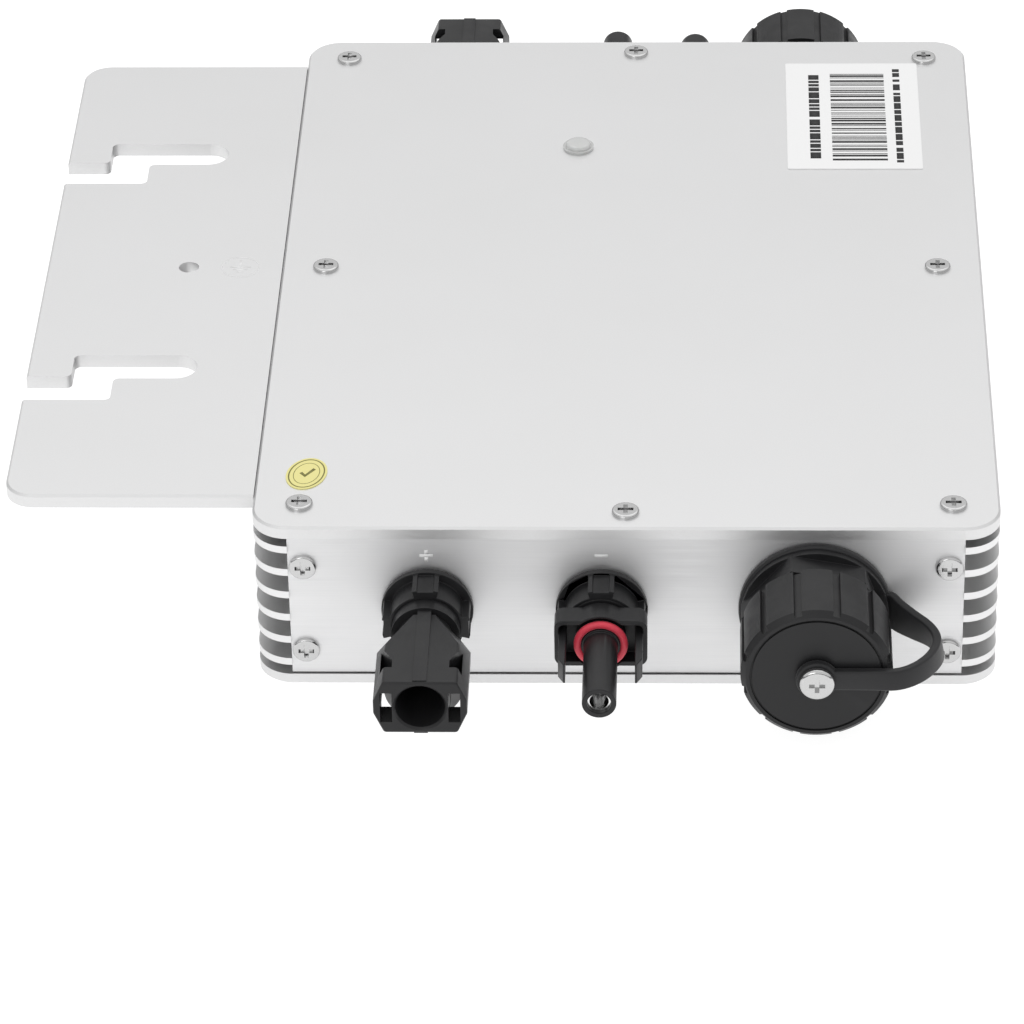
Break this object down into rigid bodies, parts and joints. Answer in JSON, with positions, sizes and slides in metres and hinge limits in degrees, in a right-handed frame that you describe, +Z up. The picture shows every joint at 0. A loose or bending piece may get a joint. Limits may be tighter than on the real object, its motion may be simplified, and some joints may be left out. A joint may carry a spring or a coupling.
{
  "type": "string inverter",
  "caption": "Flat finned aluminium micro inverter with a slotted flange plate, latching DC connectors at both ends and screw-capped AC ports on rubber tethers",
  "frame": {"origin": "centre of the box footprint on the underside of the base plate", "axes": "+X across the box, away from the mounting flange; +Y from the front ports to the rear ports, the longest direction; +Z up, out of the cover"},
  "size_m": [0.2208, 0.2996, 0.0436],
  "materials": {
    "aluminium_plate": "fine bead-blasted, clear anodised",
    "aluminium_extrusion": "extruded, clear anodised",
    "aluminium_brushed": "brushed, clear anodised",
    "stainless_screw": "stainless steel, turned",
    "gasket_rubber": "matt silicone rubber",
    "black_nylon": "moulded black polyamide, fine texture",
    "black_cap": "moulded black nylon, satin",
    "strap_rubber": "moulded black rubber",
    "red_silicone": "red silicone, slightly glossy",
    "tinned_contact": "tin-plated copper",
    "clear_lens": "clear polycarbonate, polished",
    "label_paper": "white coated label",
    "yellow_sticker": "yellow coated sticker",
    "board_laminate": "green solder mask on glass-fibre laminate",
    "ferrite_winding": "varnished copper winding and ferrite",
    "capacitor_sleeve": "shrunk plastic sleeve",
    "brass_pillar": "nickel-free brass, turned",
    "thermal_pad": "grey silicone pad",
    "lead_sleeve": "insulated lead"
  },
  "bodies": {
    "inverter_box": {"ac_bulkhead_front": "black_nylon", "ac_bulkhead_rear": "black_nylon", "ac_contacts": "tinned_contact", "ac_insert_front": "black_nylon", "ac_insert_rear": "black_nylon", "ac_leads": "lead_sleeve", "ac_locknuts": "black_nylon", "base_gasket": "gasket_rubber", "base_plate": "aluminium_plate", "base_screws": "stainless_screw", "board_pillars": "brass_pillar", "board_screws": "stainless_screw", "bulk_capacitors": "capacitor_sleeve", "circuit_board": "board_laminate", "control_module": "black_nylon", "cover_gasket": "gasket_rubber", "cover_plate": "aluminium_plate", "cover_screws": "stainless_screw", "dc_leads": "lead_sleeve", "dc_locknuts": "black_nylon", "dc_orings": "red_silicone", "dc_panel_seals": "gasket_rubber", "dc_pin_contacts": "tinned_contact", "dc_plug_collar_front": "black_nylon", "dc_plug_collar_rear": "black_nylon", "dc_plug_front": "black_nylon", "dc_plug_rear": "black_nylon", "dc_socket_collar_front": "black_nylon", "dc_socket_collar_rear": "black_nylon", "dc_socket_front": "black_nylon", "dc_socket_rear": "black_nylon", "dc_tube_contacts": "tinned_contact", "end_plate_front": "aluminium_brushed", "end_plate_rear": "aluminium_brushed", "front_end_screws": "stainless_screw", "heatsink_left": "aluminium_extrusion", "heatsink_right": "aluminium_extrusion", "inspection_sticker": "yellow_sticker", "led_lens": "clear_lens", "light_pipe": "clear_lens", "mounting_plate": "aluminium_plate", "mounting_plate_screws": "stainless_screw", "output_inductor": "ferrite_winding", "power_transistors": "black_nylon", "radio_antenna": "black_nylon", "rating_label": "label_paper", "rear_end_screws": "stainless_screw", "tether_strap_front": "strap_rubber", "tether_strap_rear": "strap_rubber", "thermal_pads": "thermal_pad", "transformers": "ferrite_winding", "transistor_clamps": "stainless_screw"},
    "front_cap_tether": {"tether_eyelet_front": "strap_rubber"},
    "front_ac_cap": {"ac_cap_front": "black_cap", "cap_liner_front": "gasket_rubber", "cap_screw_front": "stainless_screw"},
    "rear_cap_tether": {"tether_eyelet_rear": "strap_rubber"},
    "rear_ac_cap": {"ac_cap_rear": "black_cap", "cap_liner_rear": "gasket_rubber", "cap_screw_rear": "stainless_screw"}
  },
  "joints": [
    {"name": "front_cap_travel", "type": "slide", "parent": "inverter_box", "child": "front_cap_tether", "axis": [0, -1, 0], "range_m": [0, 0.012], "deforming": ["tether_strap_front"]},
    {"name": "front_cap_turn", "type": "hinge", "parent": "front_cap_tether", "child": "front_ac_cap", "pos_m": [0.0418, -0.1375, 0.0211], "axis": [0, -1, 0], "range_deg": [0, 1440]},
    {"name": "rear_cap_travel", "type": "slide", "parent": "inverter_box", "child": "rear_cap_tether", "axis": [0, 1, 0], "range_m": [0, 0.012], "deforming": ["tether_strap_rear"]},
    {"name": "rear_cap_turn", "type": "hinge", "parent": "rear_cap_tether", "child": "rear_ac_cap", "pos_m": [0.0418, 0.1375, 0.0211], "axis": [0, 1, 0], "range_deg": [0, 1440]}
  ],
  "couplings": [
    {"joint": "front_cap_travel", "follows": "front_cap_turn", "m_per_rad": 0.00047746},
    {"joint": "rear_cap_travel", "follows": "rear_cap_turn", "m_per_rad": 0.00047746}
  ]
}
